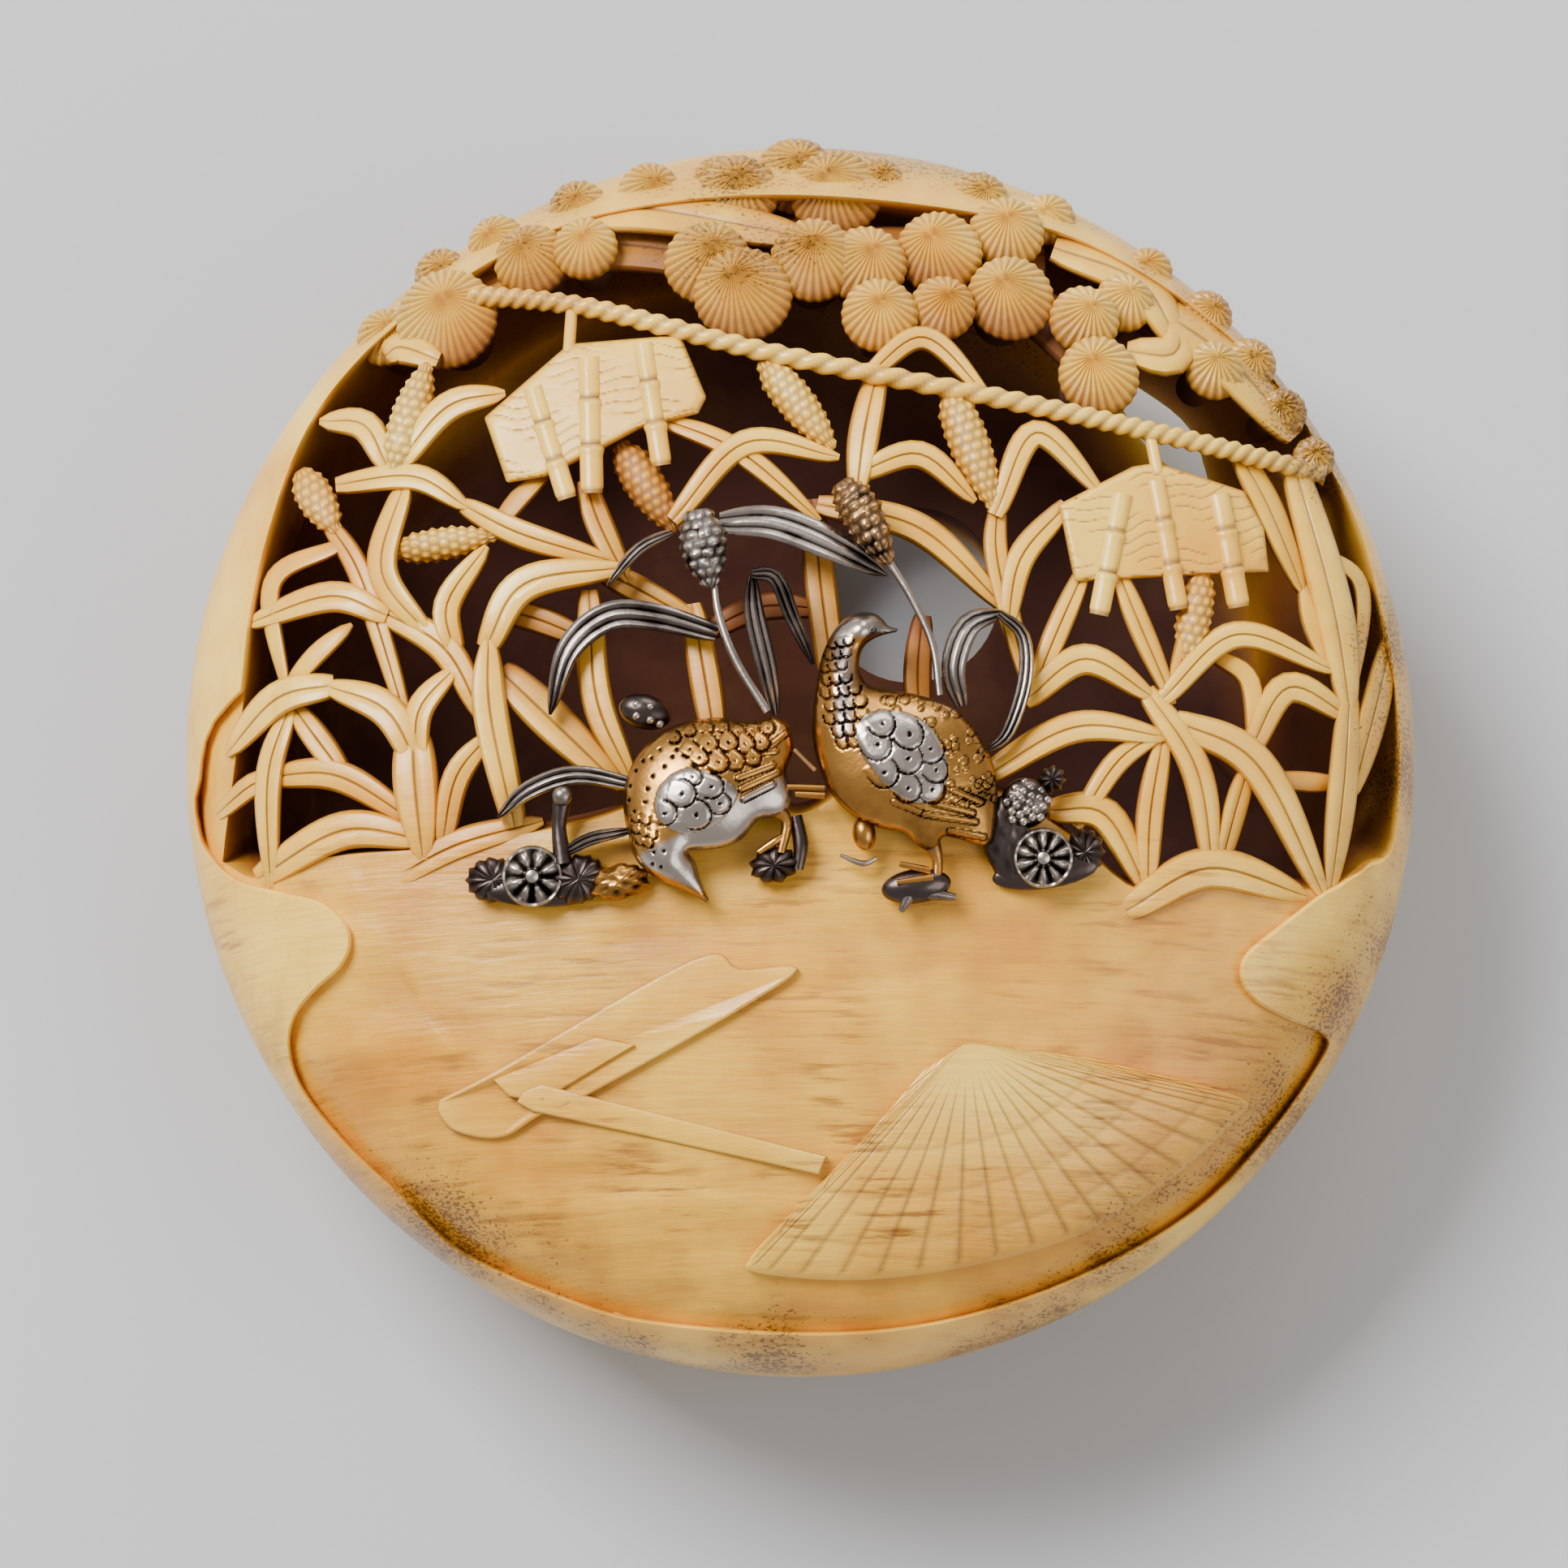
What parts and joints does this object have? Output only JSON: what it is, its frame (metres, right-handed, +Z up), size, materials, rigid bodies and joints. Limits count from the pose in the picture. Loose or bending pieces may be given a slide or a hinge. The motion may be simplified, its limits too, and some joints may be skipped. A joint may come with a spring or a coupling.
{
  "type": "openwork netsuke",
  "caption": "Hollow, bun-shaped openwork toggle of stained ivory carved with millet, pines and rattle boards, set with mixed-metal quail.",
  "frame": {"origin": "middle of the small flat at the back that it rests on, under the middle of its outline", "axes": "+Z up out of the carved front, +Y towards the top of the picture carved on it, +X to the viewer's right"},
  "size_m": [0.045, 0.0458, 0.021],
  "materials": {
    "ivory": "polished, stained and worn ivory",
    "mixed_metal": "patinated silver, parcel gilt"
  },
  "bodies": {
    "root": {"ivory_body": "ivory", "quail_ornament_left": "mixed_metal", "quail_ornament_right": "mixed_metal"}
  },
  "joints": []
}
